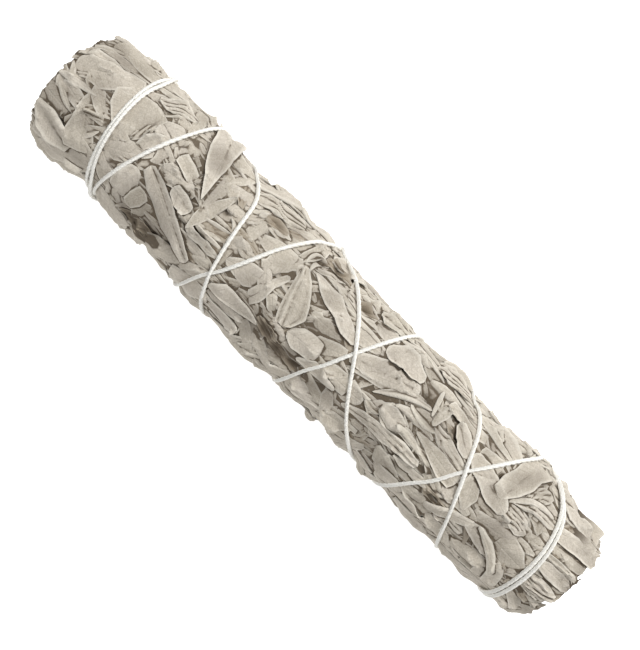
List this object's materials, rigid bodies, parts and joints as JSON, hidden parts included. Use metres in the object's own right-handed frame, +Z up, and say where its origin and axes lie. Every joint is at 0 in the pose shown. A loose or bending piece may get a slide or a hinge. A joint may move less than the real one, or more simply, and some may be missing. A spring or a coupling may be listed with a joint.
{
  "type": "sage bunch",
  "caption": "Roll of dried, pressed sage leaves round woody stems, bound with one crossing cotton string, lying on a flat underside.",
  "frame": {"origin": "under the middle of the bundle, on the surface it lies on", "axes": "+X along the bundle to its butt end, where the stems show; +Z up from the surface it lies on; +Y to its left"},
  "size_m": [0.203, 0.0472, 0.0434],
  "materials": {
    "dried_leaf": "matt, felted dry leaf",
    "cotton_string": "matt twisted cotton",
    "dried_stem": "dry, unfinished"
  },
  "bodies": {
    "root": {"leaf_bundle": "dried_leaf", "binding_string": "cotton_string", "stem_01": "dried_stem", "stem_02": "dried_stem", "stem_03": "dried_stem", "stem_04": "dried_stem", "stem_05": "dried_stem", "stem_06": "dried_stem", "stem_07": "dried_stem"}
  },
  "joints": []
}
